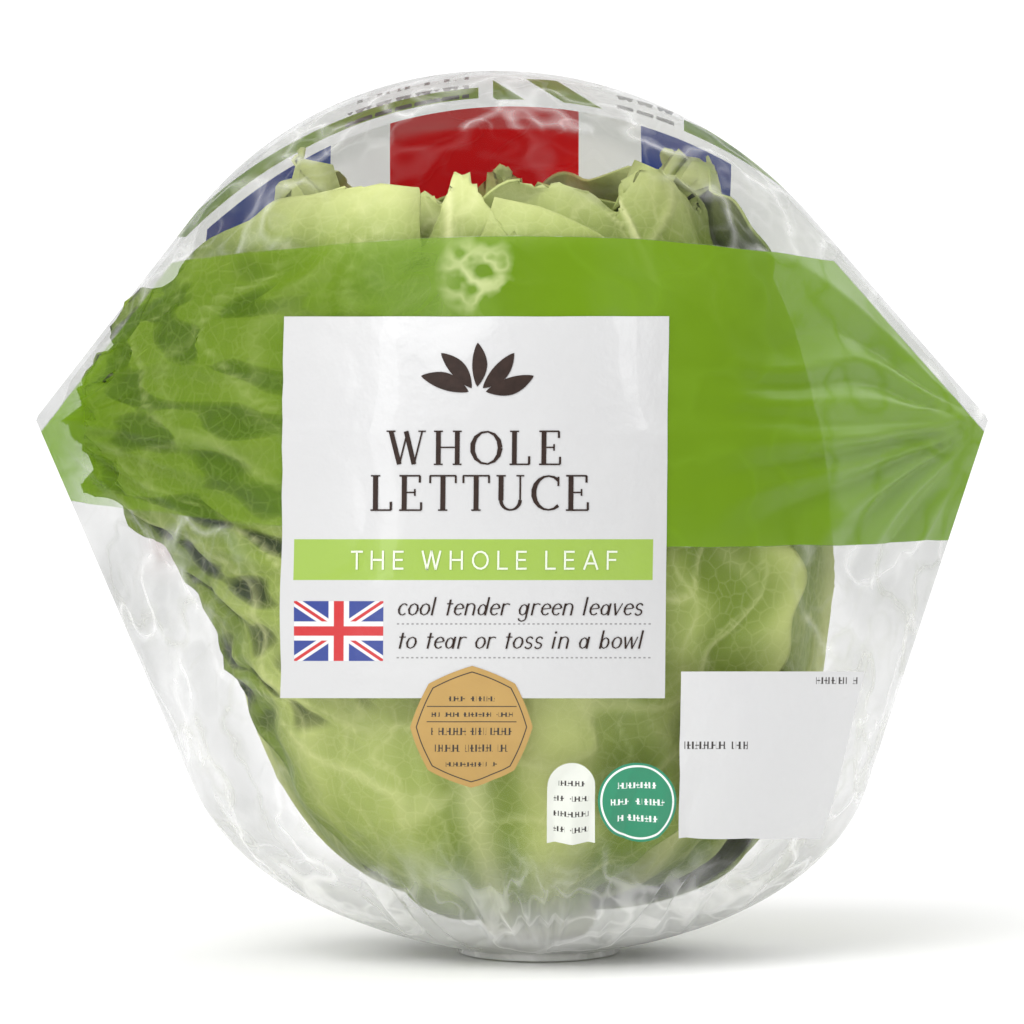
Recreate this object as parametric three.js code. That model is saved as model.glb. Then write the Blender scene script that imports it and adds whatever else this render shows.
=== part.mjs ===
// A whole butterhead lettuce in a clear film bag, standing on its cut stem.
//
// The head is a rosette: a short tapered stem with soft leaves set round it in a spiral, a golden
// angle apart. Each leaf is a cupped shell on a layer of its own, and every layer lies inside the
// one before it, so the leaves overlap like those of a real head and never cut each other.
//
// The bag is one tube of film drawn round the head. It stands off the head in two pointed ears,
// left and right, where the tube's side folds are creased, and it is gathered under the stem into
// a small open mouth.
//
// Frame: millimetres, +Z up, +X to the right, the front faces -Y. The origin is on the surface the
// bag stands on, under the middle of the bag's box.
import * as THREE from "three";

// ---- driving dimensions: the head ---------------------------------------------------------
const LEAF_GROUPS = [
  { name: "outer_leaf", count: 7, color: 0x8fae4a },
  { name: "middle_leaf", count: 7, color: 0xb3c672 },
  { name: "heart_leaf", count: 6, color: 0xdbdf9a },
];
const LEAF_THICKNESS = 0.8;
const HEAD_HALF_WIDTH = 68; // the outermost leaf's layer
const HEAD_HALF_DEPTH = 61;
const HEAD_BOTTOM = 7;
const HEAD_TOP = 172;
const HEART_HALF_WIDTH = 11; // the innermost leaf's layer
const HEART_HALF_DEPTH = 9.7;
const HEART_BOTTOM = 41;
const HEART_TOP = 134;
const LAYER_POWER = 0.6; // of a layer's sine: 1 is an ellipsoid, less is fuller at both ends
const GOLDEN_ANGLE = 137.508; // degrees
const FIRST_LEAF_ANGLE = 258; // degrees from +X: the outermost leaf faces the front, a little left

// ---- driving dimensions: one leaf's outline, [on the outermost leaf, on the innermost] -------
const BLADE_HALF_ANGLE = [66, 100]; // degrees round the head, at the widest
const FOOT_HALF_ANGLE = [24, 60]; // degrees, where it grows on the stem
const TIP_ANGLE = [152, 162]; // degrees from the bottom pole, where it ends over the heart
const WIDEST_AT = 0.56; // share of its length, from the foot
const TIP_SHARE = 0.16; // the tip's width as a share of the blade's
const TIP_POWER = 2.4; // roundness of the outline towards the tip

// ---- driving dimensions: the stem -------------------------------------------------------------
const STEM_BOTTOM = 3;
const STEM_TOP = 56;
const STEM_RADIUS = 12.5; // at the cut
const STEM_TIP_RADIUS = 3;
const STEM_CHAMFER = 1;
const STEM_GAP = 0.5; // from a leaf's foot to the stem

// ---- driving dimensions: the bag ----------------------------------------------------------
const EAR_STANDOFF = 32; // from the head's side to an ear's tip
const EAR_HEIGHT = 112; // the ears' tips above the surface
const EAR_PINCH = 1.6; // how much the section's sides are hollowed at the ears; 0 is an ellipse
const PINCH_ABOVE = 30; // how far the pinch carries on above the ears
const PINCH_BELOW = 42; // and below them
const TOP_SLACK = 13; // from the head's top to the film's
const DEPTH_SLACK = 5; // from the head's front and back to the film's
const BOWL_SLACK = 4.5; // from the head's side to the film's, low down
const HEAD_CLEARANCE = 2.2; // the least that the film's inside stays off the head
const WAIST_HEIGHT = 88; // where the bag is deepest
const DOME_RADIUS = 84; // the arch of the film over the head, seen from the front
const BOWL_HEIGHT = 44.5; // the round bowl of the film under the head, seen from the front
const FOOT_HALF_WIDTH = 17; // the flat that the bag stands on
const FOOT_HALF_DEPTH = 24;
const MOUTH_RADIUS = 7; // the gathered mouth under the stem
const LEAN = 0.05; // sideways shift of bag and head for each millimetre of height
const FILM_WALL = 0.8; // thick enough to be a solid
const CREASE_WALL = 1.2; // how much thicker, for each unit of pinch, the folded film is at an ear
const SIDE_POWER_ABOVE = 2.2; // the superellipse of the side view, above the waist
const SIDE_POWER_BELOW = 3; // and below it

// ---- driving dimensions: the outermost leaf's left edge, which stands out into the left ear ------
const FLARE_GAP = 12; // from the leaf's edge to the ear's tip
const FLARE_FROM = 0.3; // share of the half blade, from its middle, where the flare starts
const FLARE_HEIGHT = 24; // how far the flare carries up and down
const FLARE_CLEARANCE = 2.2; // how much further than the head's the flared edge stays off the film

const FILM = new THREE.MeshStandardMaterial({ color: 0xeef0ec, roughness: 0.2, metalness: 0 });
const STEM_CREAM = new THREE.MeshStandardMaterial({ color: 0xe2dfbd, roughness: 0.7, metalness: 0 });

// ---- fineness of the solids -------------------------------------------------------------------
const BAG_COLUMNS = 36;
const BAG_ROWS = { bowl: 4, belowEar: 6, aboveEar: 6, dome: 5 };
const FLARED_LEAF = { columns: 18, rows: 18 }; // the outermost one, which the film presses
const PLAIN_LEAF = { columns: 11, rows: 10 };
const STEM_SIDES = 20;
const FOOT_ROUNDS = 12; // in which a foot's height is found

const radians = THREE.MathUtils.degToRad;
const smooth = THREE.MathUtils.smoothstep;
const mix = THREE.MathUtils.lerp;
const remap = THREE.MathUtils.mapLinear;

function piece(name, geometry, material) {
  const mesh = new THREE.Mesh(geometry, material);
  mesh.name = name;
  return mesh;
}

// ---- a closed body between two surfaces ---------------------------------------------------------

// The body between outer(u, v) and inner(u, v), both seen from outside with u to the right and v up.
// It is closed all round by its four edges. A wrapped one runs all the way round in u instead, and
// closes in a pole at v = 1, so that only its edge at v = 0 lies between the two surfaces.
function shell(outer, inner, across, along, wrapped) {
  const columns = wrapped ? across : across + 1;
  const rows = wrapped ? along : along + 1;
  const layer = rows * columns;
  const positions = [];
  const faces = [];
  for (const surface of [outer, inner])
    for (let j = 0; j < rows; j++)
      for (let i = 0; i < columns; i++) positions.push(...surface(i / across, j / along).toArray());
  const out = (i, j) => j * columns + (i % columns);
  const into = (i, j) => layer + out(i, j);
  const quad = (a, b, c, d) => faces.push(a, b, c, a, c, d);
  for (let j = 0; j < rows - 1; j++)
    for (let i = 0; i < across; i++) {
      quad(out(i, j), out(i + 1, j), out(i + 1, j + 1), out(i, j + 1));
      quad(into(i, j), into(i, j + 1), into(i + 1, j + 1), into(i + 1, j));
    }
  for (let i = 0; i < across; i++) quad(out(i, 0), into(i, 0), into(i + 1, 0), out(i + 1, 0));
  if (wrapped) closeWithPoles();
  else closeThreeEdges();

  function closeWithPoles() {
    const last = rows - 1;
    const outerPole = positions.length / 3;
    positions.push(...outer(0, 1).toArray(), ...inner(0, 1).toArray());
    for (let i = 0; i < across; i++) {
      faces.push(out(i, last), out(i + 1, last), outerPole);
      faces.push(into(i + 1, last), into(i, last), outerPole + 1);
    }
  }

  function closeThreeEdges() {
    const last = rows - 1;
    for (let i = 0; i < across; i++)
      quad(out(i, last), out(i + 1, last), into(i + 1, last), into(i, last));
    for (let j = 0; j < last; j++) {
      quad(out(0, j), out(0, j + 1), into(0, j + 1), into(0, j));
      quad(out(across, j), into(across, j), into(across, j + 1), out(across, j + 1));
    }
  }

  const geometry = new THREE.BufferGeometry();
  geometry.setAttribute("position", new THREE.Float32BufferAttribute(positions, 3));
  geometry.setIndex(faces);
  geometry.computeVertexNormals();
  return geometry;
}

// ---- the leaves' layers ----------------------------------------------------------------------------

const leafCount = LEAF_GROUPS.reduce((sum, { count }) => sum + count, 0);

// The layer of a leaf, a superellipsoid: inward goes from the outermost leaf at 0 to the innermost
// at 1, and inset takes it in from its outer surface.
function layer(inward, inset) {
  return {
    wide: mix(HEAD_HALF_WIDTH, HEART_HALF_WIDTH, inward) - inset,
    deep: mix(HEAD_HALF_DEPTH, HEART_HALF_DEPTH, inward) - inset,
    bottom: mix(HEAD_BOTTOM, HEART_BOTTOM, inward) + inset,
    top: mix(HEAD_TOP, HEART_TOP, inward) - inset,
  };
}

// Half the depth of a layer at a height and at a distance from its middle: 0 beside it.
function layerDepth({ wide, deep, bottom, top }, x, z) {
  const rise = remap(THREE.MathUtils.clamp(z, bottom, top), bottom, top, -1, 1);
  const share = Math.sqrt(Math.max(0, 1 - rise ** 2)) ** LAYER_POWER;
  const reach = wide * share;
  return Math.abs(x) < reach ? deep * share * Math.sqrt(1 - (x / reach) ** 2) : 0;
}

// ---- the bag --------------------------------------------------------------------------------------

// Where the straight line from an outside point touches a circle about (0, middle). The line runs
// above the point's side of the circle where turn is 1 and below it where turn is -1.
function tangentPoint(from, middle, radius, turn) {
  const towards = Math.atan2(from.y - middle, from.x);
  const angle = towards + turn * Math.acos(radius / Math.hypot(from.x, from.y - middle));
  return new THREE.Vector2(radius * Math.cos(angle), middle + radius * Math.sin(angle));
}

const bagHeight = HEAD_TOP + TOP_SLACK;
const earReach = HEAD_HALF_WIDTH + EAR_STANDOFF;
const bowlHalfWidth = HEAD_HALF_WIDTH + BOWL_SLACK;
const domeMiddle = bagHeight - DOME_RADIUS;
const domeTouch = tangentPoint(new THREE.Vector2(earReach, EAR_HEIGHT), domeMiddle, DOME_RADIUS, 1);
// The bowl is an ellipse. Stretching its height makes it a circle, where the tangent is found.
const bowlStretch = bowlHalfWidth / BOWL_HEIGHT;
const stretchedEar = new THREE.Vector2(earReach, EAR_HEIGHT * bowlStretch);
const bowlTouch = tangentPoint(stretchedEar, bowlHalfWidth, bowlHalfWidth, -1);
bowlTouch.y /= bowlStretch;

// Half the bag's width at a height: the bowl, a taut straight run out to the ear, another one up
// from it, and the dome.
function halfWidth(z) {
  if (z > domeTouch.y) return Math.sqrt(Math.max(0, DOME_RADIUS ** 2 - (z - domeMiddle) ** 2));
  if (z > EAR_HEIGHT) return remap(z, EAR_HEIGHT, domeTouch.y, earReach, domeTouch.x);
  if (z > bowlTouch.y) return remap(z, bowlTouch.y, EAR_HEIGHT, bowlTouch.x, earReach);
  return Math.max(FOOT_HALF_WIDTH, bowlHalfWidth * Math.sqrt(1 - (1 - z / BOWL_HEIGHT) ** 2));
}

// Half the bag's depth at a height: a superellipse above the waist and a squarer one below it.
function halfDepth(z) {
  const above = z > WAIST_HEIGHT;
  const reach = above ? bagHeight - WAIST_HEIGHT : WAIST_HEIGHT;
  const power = above ? SIDE_POWER_ABOVE : SIDE_POWER_BELOW;
  const share = Math.min(1, Math.abs(z - WAIST_HEIGHT) / reach);
  const depth = (HEAD_HALF_DEPTH + DEPTH_SLACK) * (1 - share ** power) ** (1 / power);
  return above ? depth : Math.max(FOOT_HALF_DEPTH, depth);
}

// How far the section's sides are hollowed towards pointed ends at a height: 0 is an ellipse.
function pinch(z) {
  const reach = z > EAR_HEIGHT ? PINCH_ABOVE : PINCH_BELOW;
  return EAR_PINCH * Math.exp(-(((z - EAR_HEIGHT) / reach) ** 2));
}

const leanAt = (z) => LEAN * (EAR_HEIGHT - z);

// The heights of the bag's rows, from the foot to the top. One row runs through the ears' tips and
// one through each place where the outline turns from straight to round.
function bagHeights() {
  const heights = [0];
  const run = (from, to, rows, ease) => {
    for (let k = 1; k <= rows; k++) heights.push(mix(from, to, ease(k / rows)));
  };
  run(0, bowlTouch.y, BAG_ROWS.bowl, (t) => 1 - Math.cos((Math.PI / 2) * t));
  run(bowlTouch.y, EAR_HEIGHT, BAG_ROWS.belowEar, (t) => t);
  run(EAR_HEIGHT, domeTouch.y, BAG_ROWS.aboveEar, (t) => t);
  run(domeTouch.y, bagHeight, BAG_ROWS.dome, (t) => Math.sin((Math.PI / 2) * t));
  return heights;
}

// Half the depth of the film at a height and at a distance from the bag's middle. It is hollowed
// towards the ears, and lies on the head where the hollowed sides would cut it.
function filmDepth(x, z) {
  const across = Math.min(1, Math.abs(x) / halfWidth(z));
  const free = halfDepth(z) * (1 - across ** 2) ** ((1 + pinch(z)) / 2);
  return Math.max(free, layerDepth(layer(0, -HEAD_CLEARANCE - FILM_WALL), x, z));
}

// A point of the section at a height, once round for turn from 0 to 1, inset from the outside.
function sectionPoint(turn, z, inset) {
  if (z >= bagHeight) return new THREE.Vector3(leanAt(z), 0, bagHeight - inset);
  const angle = 2 * Math.PI * turn;
  const wide = halfWidth(z);
  const x = wide * Math.cos(angle);
  const y = Math.sign(Math.sin(angle)) * filmDepth(x, z);
  const squeezedX = x * (1 - (inset * (1 + CREASE_WALL * pinch(z))) / wide);
  const squeezedY = y * (1 - inset / halfDepth(z));
  const height = mix(inset, bagHeight - inset, z / bagHeight);
  return new THREE.Vector3(squeezedX + leanAt(z), squeezedY, height);
}

function mouthPoint(turn, inset) {
  const angle = 2 * Math.PI * turn;
  const x = MOUTH_RADIUS * Math.cos(angle) + leanAt(0);
  return new THREE.Vector3(x, MOUTH_RADIUS * Math.sin(angle), inset);
}

function filmBag() {
  const heights = bagHeights();
  const surface = (inset) => (u, v) => {
    const row = Math.round(v * heights.length);
    return row === 0 ? mouthPoint(u, inset) : sectionPoint(u, heights[row - 1], inset);
  };
  const geometry = shell(surface(0), surface(FILM_WALL), BAG_COLUMNS, heights.length, true);
  return piece("film_bag", geometry, FILM);
}

// ---- the stem ---------------------------------------------------------------------------------------

function stemRadius(z) {
  const share = THREE.MathUtils.clamp((z - STEM_BOTTOM) / (STEM_TOP - STEM_BOTTOM), 0, 1);
  return mix(STEM_RADIUS, STEM_TIP_RADIUS, share);
}

// The cut butt: flat underneath, with a small chamfer, and tapering up between the leaves' feet.
function stem() {
  const profile = [
    new THREE.Vector2(0, STEM_BOTTOM),
    new THREE.Vector2(STEM_RADIUS - STEM_CHAMFER, STEM_BOTTOM),
    new THREE.Vector2(stemRadius(STEM_BOTTOM + STEM_CHAMFER), STEM_BOTTOM + STEM_CHAMFER),
    new THREE.Vector2(STEM_TIP_RADIUS, STEM_TOP),
    new THREE.Vector2(0, STEM_TOP),
  ];
  const geometry = new THREE.LatheGeometry(profile, STEM_SIDES);
  geometry.rotateX(Math.PI / 2);
  geometry.applyMatrix4(new THREE.Matrix4().makeShear(0, 0, 0, 0, -LEAN, 0));
  geometry.translate(leanAt(0), 0, 0);
  return piece("stem", geometry, STEM_CREAM);
}

// ---- the leaves ----------------------------------------------------------------------------------------

const flareReach = EAR_STANDOFF - FLARE_GAP;

// The outermost leaf's left edge is drawn out into the bag's ear, where the film presses it flat.
function flared({ x, y, z }, across) {
  const near = smooth(-across, FLARE_FROM, 1) * Math.exp(-(((z - EAR_HEIGHT) / FLARE_HEIGHT) ** 2));
  const outX = x - flareReach * near;
  const room = filmDepth(outX, z) - FILM_WALL - HEAD_CLEARANCE - FLARE_CLEARANCE * near;
  const press = Math.min(1, room / Math.max(room, layerDepth(layer(0, 0), x, z)));
  return { x: outX, y: y * press, z };
}

// Half a leaf's width in radians round the head, from its foot at 0 to its tip at 1. inward goes
// from the outermost leaf at 0 to the innermost at 1.
function leafHalfAngle(inward, along) {
  const full = mix(...BLADE_HALF_ANGLE, inward);
  const foot = mix(...FOOT_HALF_ANGLE, inward);
  const opening = mix(foot, full, smooth(along, 0, WIDEST_AT));
  const closing = Math.max(0, (along - WIDEST_AT) / (1 - WIDEST_AT));
  return radians(opening * mix(TIP_SHARE, 1, Math.sqrt(1 - closing ** TIP_POWER)));
}

// How far up its layer a leaf's foot starts, in radians from the bottom pole, so that it ends a
// gap off the stem. The stem tapers, so the foot's height and the stem's radius are found in turn.
function footPolar({ wide, deep, bottom, top }, turn) {
  const spread = Math.hypot(wide * Math.cos(turn), deep * Math.sin(turn));
  let polar = 0;
  for (let round = 0; round < FOOT_ROUNDS; round++) {
    const height = remap(-Math.cos(polar), -1, 1, bottom, top);
    polar = Math.asin(((stemRadius(height) + STEM_GAP) / spread) ** (1 / LAYER_POWER));
  }
  return polar;
}

// A leaf's point, across the blade from -1 to 1 and along it from the foot at 0 to the tip at 1.
// order counts the leaves from the outside in, and each has its own layer, a superellipsoid.
function leafPoint(order, across, along, inset) {
  const inward = order / (leafCount - 1);
  const size = layer(inward, inset);
  const { wide, deep, bottom, top } = size;
  const turn = radians(FIRST_LEAF_ANGLE + order * GOLDEN_ANGLE) + across * leafHalfAngle(inward, along);
  const polar = mix(footPolar(size, turn), radians(mix(...TIP_ANGLE, inward)), along);
  const out = Math.sin(polar) ** LAYER_POWER;
  const z = remap(-Math.cos(polar), -1, 1, bottom, top);
  const plain = { x: wide * out * Math.cos(turn), y: deep * out * Math.sin(turn), z };
  const point = order === 0 ? flared(plain, across) : plain;
  return new THREE.Vector3(point.x + leanAt(z), point.y, z);
}

function leaf(name, order, material) {
  const side = (inset) => (u, v) => leafPoint(order, 2 * u - 1, v, inset);
  const { columns, rows } = order === 0 ? FLARED_LEAF : PLAIN_LEAF;
  const geometry = shell(side(0), side(LEAF_THICKNESS), columns, rows, false);
  return piece(name, geometry, material);
}

function leaves() {
  const group = new THREE.Group();
  for (const { name, count, color } of LEAF_GROUPS) {
    const material = new THREE.MeshStandardMaterial({ color, roughness: 0.55, metalness: 0 });
    for (let k = 1; k <= count; k++) group.add(leaf(`${name}_${k}`, group.children.length, material));
  }
  return group;
}

const lettuce = new THREE.Group();
lettuce.add(filmBag(), stem(), leaves());

export default lettuce;
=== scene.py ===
"""A whole butterhead lettuce in a clear printed film bag, standing on its gathered base."""

import math

import bpy
import numpy as np
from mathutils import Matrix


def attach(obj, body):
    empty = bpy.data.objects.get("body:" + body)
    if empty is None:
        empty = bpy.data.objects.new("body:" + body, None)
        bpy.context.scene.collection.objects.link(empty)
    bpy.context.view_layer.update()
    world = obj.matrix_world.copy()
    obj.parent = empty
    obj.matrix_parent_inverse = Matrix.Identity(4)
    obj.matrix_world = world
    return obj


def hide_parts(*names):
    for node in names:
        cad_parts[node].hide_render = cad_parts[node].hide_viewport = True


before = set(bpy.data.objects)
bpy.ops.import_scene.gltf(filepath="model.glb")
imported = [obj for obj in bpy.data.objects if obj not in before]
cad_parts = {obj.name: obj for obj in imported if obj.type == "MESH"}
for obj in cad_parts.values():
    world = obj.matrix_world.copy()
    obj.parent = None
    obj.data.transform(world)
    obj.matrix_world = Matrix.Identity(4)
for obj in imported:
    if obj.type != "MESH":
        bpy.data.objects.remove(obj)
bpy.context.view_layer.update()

# ---- The stage ---------------------------------------------------------------------------------
# A wide pale floor, soft studio light from large lamps all round, and a long lens that looks at
# the label side from just above the level.
VIEW_DISTANCE = 2.4
VIEW_WIDTH = 0.215  # what the frame takes in at the pack
VIEW_HEIGHT = 0.0924  # the height that it looks at
VIEW_RISE = math.radians(3.5)
SENSOR = 36.0
FLOOR_HALF = 14.0

scene = bpy.context.scene
scene.view_settings.view_transform = "Standard"


def add_object(name, data):
    """A new object of that name, linked to the scene, at the origin."""
    obj = bpy.data.objects.new(name, data)
    scene.collection.objects.link(obj)
    return obj


def soft_lamp(name, place, power, width, height):
    """A rectangular lamp at place, turned to face the pack's middle."""
    data = bpy.data.lights.new(name, "AREA")
    data.shape = "RECTANGLE"
    data.size, data.size_y, data.energy = width, height, power
    lamp = add_object(name, data)
    lamp.location = place
    away = lamp.location - type(lamp.location)((0, 0, VIEW_HEIGHT))
    lamp.rotation_euler = away.to_track_quat("Z", "Y").to_euler()
    return lamp


def wide_light(name, place, power):
    """An even light from very far off in place's direction, softened as by a large silk."""
    data = bpy.data.lights.new(name, "SUN")
    data.energy, data.angle = power, math.radians(50)
    light = add_object(name, data)
    light.location = place
    light.rotation_euler = light.location.to_track_quat("Z", "Y").to_euler()


wide_light("front_silk", (-1.1, -1.5, 1.9), 1.75)
wide_light("rear_silk", (1.2, 1.4, 1.6), 0.9)
soft_lamp("tall_strip", (-0.95, -0.85, 0.45), 1.6, 0.14, 0.9)
soft_lamp("small_strip", (0.9, -0.8, 0.75), 1.1, 0.14, 0.5)
soft_lamp("top_strip", (0.0, -0.25, 1.1), 1.4, 0.7, 0.12)

sky = bpy.data.worlds.new("studio")
scene.world = sky
sky.use_nodes = True
seen = sky.node_tree.nodes.new("ShaderNodeLightPath").outputs["Is Camera Ray"]
glow = sky.node_tree.nodes.new("ShaderNodeMapRange")
glow.inputs["To Min"].default_value, glow.inputs["To Max"].default_value = 0.66, 1.0
sky.node_tree.links.new(seen, glow.inputs["Value"])
sky.node_tree.links.new(glow.outputs[0], sky.node_tree.nodes["Background"].inputs["Strength"])
sky.node_tree.nodes["Background"].inputs["Color"].default_value = (1, 1, 1, 1)

lens = bpy.data.cameras.new("camera")
lens.sensor_width = SENSOR
lens.lens = SENSOR * VIEW_DISTANCE / VIEW_WIDTH
lens.clip_end = 60.0
camera = add_object("camera", lens)
camera.location = (
    0,
    -VIEW_DISTANCE * math.cos(VIEW_RISE),
    VIEW_HEIGHT + VIEW_DISTANCE * math.sin(VIEW_RISE),
)
camera.rotation_euler = (math.pi / 2 - VIEW_RISE, 0, 0)
scene.camera = camera


class Wire:
    """A value in a material. Python's operators on it add Math nodes."""

    def __init__(self, tree, socket):
        self.tree, self.socket = tree, socket

    def math(self, operation, *values, clamp=False):
        node = self.tree.nodes.new("ShaderNodeMath")
        node.operation, node.use_clamp = operation, clamp
        for slot, value in zip(node.inputs, values):
            if isinstance(value, Wire):
                self.tree.links.new(value.socket, slot)
            else:
                slot.default_value = value
        return Wire(self.tree, node.outputs[0])

    def __add__(self, other):
        return self.math("ADD", self, other)

    def __radd__(self, other):
        return self.math("ADD", other, self)

    def __sub__(self, other):
        return self.math("SUBTRACT", self, other)

    def __rsub__(self, other):
        return self.math("SUBTRACT", other, self)

    def __mul__(self, other):
        return self.math("MULTIPLY", self, other)

    def __rmul__(self, other):
        return self.math("MULTIPLY", other, self)

    def __truediv__(self, other):
        return self.math("DIVIDE", self, other)

    def __pow__(self, other):
        return self.math("POWER", self, other)

    def __abs__(self):
        return self.math("ABSOLUTE", self)

    def sine(self):
        return self.math("SINE", self)

    def most(self, other):
        return self.math("MAXIMUM", self, other)

    def held(self):
        """The value kept from 0 to 1."""
        return self.math("ADD", self, 0.0, clamp=True)

    def past(self, edge, blur=0.1):
        """1 where the value is over the edge and 0 under it, over a blur's width."""
        return ((self - edge) / blur + 0.5).held()


def both(*masks):
    """Where all of these masks hold."""
    out = masks[0]
    for mask in masks[1:]:
        out = out * mask
    return out


def within(value, low, high, blur=0.1):
    """1 where a value lies between low and high."""
    return both(value.past(low, blur), 1.0 - value.past(high, blur))


class Finish:
    """One material: a Principled surface, and the nodes that feed it."""

    def __init__(self, name, **constants):
        self.material = bpy.data.materials.new(name)
        self.material.use_nodes = True
        self.tree = self.material.node_tree
        self.shader = self.tree.nodes["Principled BSDF"]
        for socket, value in constants.items():
            self.shader.inputs[socket.replace("_", " ")].default_value = value

    def node(self, kind, settings=None, inputs=None, out=0):
        """One output of a new node: its settings are made first, then its sockets' values."""
        node = self.tree.nodes.new("ShaderNode" + kind)
        for key, value in (settings or {}).items():
            setattr(node, key, value)
        for key, value in (inputs or {}).items():
            if isinstance(value, Wire):
                self.tree.links.new(value.socket, node.inputs[key])
            else:
                node.inputs[key].default_value = value
        return Wire(self.tree, node.outputs[out])

    def place(self):
        """The point on the piece, in metres."""
        return self.node("TexCoord", out="Object")

    def marks(self, name):
        """The three numbers that a piece's mesh carries under that name."""
        vector = self.node("Attribute", {"attribute_name": name}, out="Vector")
        return [self.node("SeparateXYZ", inputs={"Vector": vector}, out=k) for k in range(3)]

    def noise(self, size, detail=3.0, place=None, rough=0.55):
        """Soft noise from 0 to 1, its patches about that many metres across."""
        inputs = {"Vector": place or self.place(), "Scale": 1 / size, "Detail": detail}
        return self.node("TexNoise", inputs={**inputs, "Roughness": rough})

    def mixed(self, first, second, share):
        """A colour between two others, by a share from 0 to 1."""
        node = self.tree.nodes.new("ShaderNodeMix")
        node.data_type = "RGBA"
        for slot, value in ((node.inputs[0], share), (node.inputs[6], first), (node.inputs[7], second)):
            if isinstance(value, Wire):
                self.tree.links.new(value.socket, slot)
            else:
                slot.default_value = value
        return Wire(self.tree, node.outputs[2])

    def feed(self, **wires):
        """Links wires into the surface's sockets."""
        for socket, wire in wires.items():
            self.tree.links.new(wire.socket, self.shader.inputs[socket.replace("_", " ")])

    def bump(self, height, depth, strength=1.0):
        """Raises the surface by height times depth, in metres."""
        inputs = {"Height": height, "Distance": depth, "Strength": strength}
        self.feed(Normal=self.node("Bump", inputs=inputs))


def colour(red, green, blue):
    """A colour from its screen values, 0 to 255, as the shader takes it."""
    screen = np.array([red, green, blue]) / 255
    linear = np.where(screen <= 0.04045, screen / 12.92, ((screen + 0.055) / 1.055) ** 2.4)
    return (*linear.tolist(), 1.0)


def add_surface(name, points, ring=False, marks=None, smooth=True):
    """A piece from a grid of points in millimetres, rows up and columns to the right as seen from
    outside. A ring's last column joins its first. marks are grids of three numbers to carry."""
    rows, columns = points.shape[:2]
    wide = columns if ring else columns - 1
    row, column = np.meshgrid(np.arange(rows - 1), np.arange(wide), indexing="ij")
    after = (column + 1) % columns
    corners = np.stack(
        [row * columns + column, row * columns + after]
        + [(row + 1) * columns + after, (row + 1) * columns + column],
        axis=-1,
    ).reshape(-1, 4)
    mesh = bpy.data.meshes.new(name)
    mesh.vertices.add(rows * columns)
    mesh.vertices.foreach_set("co", (points.reshape(-1, 3) * 0.001).astype(np.float32).ravel())
    mesh.loops.add(corners.size)
    mesh.loops.foreach_set("vertex_index", corners.ravel().astype(np.int32))
    mesh.polygons.add(len(corners))
    mesh.polygons.foreach_set("loop_start", np.arange(0, corners.size, 4, dtype=np.int32))
    mesh.polygons.foreach_set("use_smooth", np.full(len(corners), smooth))
    mesh.update(calc_edges=True)
    for key, values in (marks or {}).items():
        layer = mesh.attributes.new(key, "FLOAT_VECTOR", "POINT")
        layer.data.foreach_set("vector", values.reshape(-1, 3).astype(np.float32).ravel())
    return add_object(name, mesh)


def fit(piece, finish, slot, *nodes):
    """Gives a piece its finish, and makes it ride on the pack in place of CAD nodes."""
    piece.data.materials.append(finish.material)
    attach(piece, "root")
    if nodes:
        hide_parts(*nodes)
    return piece


paper = Finish("pale floor", Roughness=0.9)
paper.feed(Base_Color=paper.mixed((0.93, 0.93, 0.93, 1), (0.95, 0.95, 0.95, 1), paper.noise(0.4)))
sides = np.linspace(-FLOOR_HALF, FLOOR_HALF, 3) * 1000
floor_x, floor_y = np.meshgrid(sides, sides)
floor = add_surface("floor", np.stack([floor_x, floor_y, floor_x * 0 - 0.3], axis=-1))
floor.data.materials.append(paper.material)

# ---- The stem ----------------------------------------------------------------------------------
# The cut butt that all the leaves grow on: firm, cream and moist, with a flat cut that has gone a
# little brown. It tapers up between the leaves' feet.
LEAN = 0.05  # sideways shift of the whole pack for each millimetre of height
EAR_HEIGHT = 112.0
STEM_BOTTOM, STEM_TOP = 3.0, 56.0
STEM_RADIUS, STEM_TIP_RADIUS = 12.5, 3.0


def smooth_step(value, low, high):
    """0 below low, 1 above high, and an S curve between."""
    t = np.clip((value - low) / (high - low), 0, 1)
    return t * t * (3 - 2 * t)


def lattice_noise(x, y, seed):
    """Smooth noise from -1 to 1: random numbers on a square lattice, blended between its points."""
    table = np.random.default_rng(seed).uniform(-1, 1, (64, 64))
    column, row = np.floor(x).astype(int), np.floor(y).astype(int)
    u, v = smooth_step(x - column, 0, 1), smooth_step(y - row, 0, 1)

    def at(i, j):
        return table[(row + j) % 64, (column + i) % 64]

    low = at(0, 0) * (1 - u) + at(1, 0) * u
    high = at(0, 1) * (1 - u) + at(1, 1) * u
    return low * (1 - v) + high * v


def stem_radius(z):
    """The stem's radius at a height: a straight taper from the cut to the tip."""
    share = np.clip((z - STEM_BOTTOM) / (STEM_TOP - STEM_BOTTOM), 0, 1)
    return STEM_RADIUS + (STEM_TIP_RADIUS - STEM_RADIUS) * share


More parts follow.
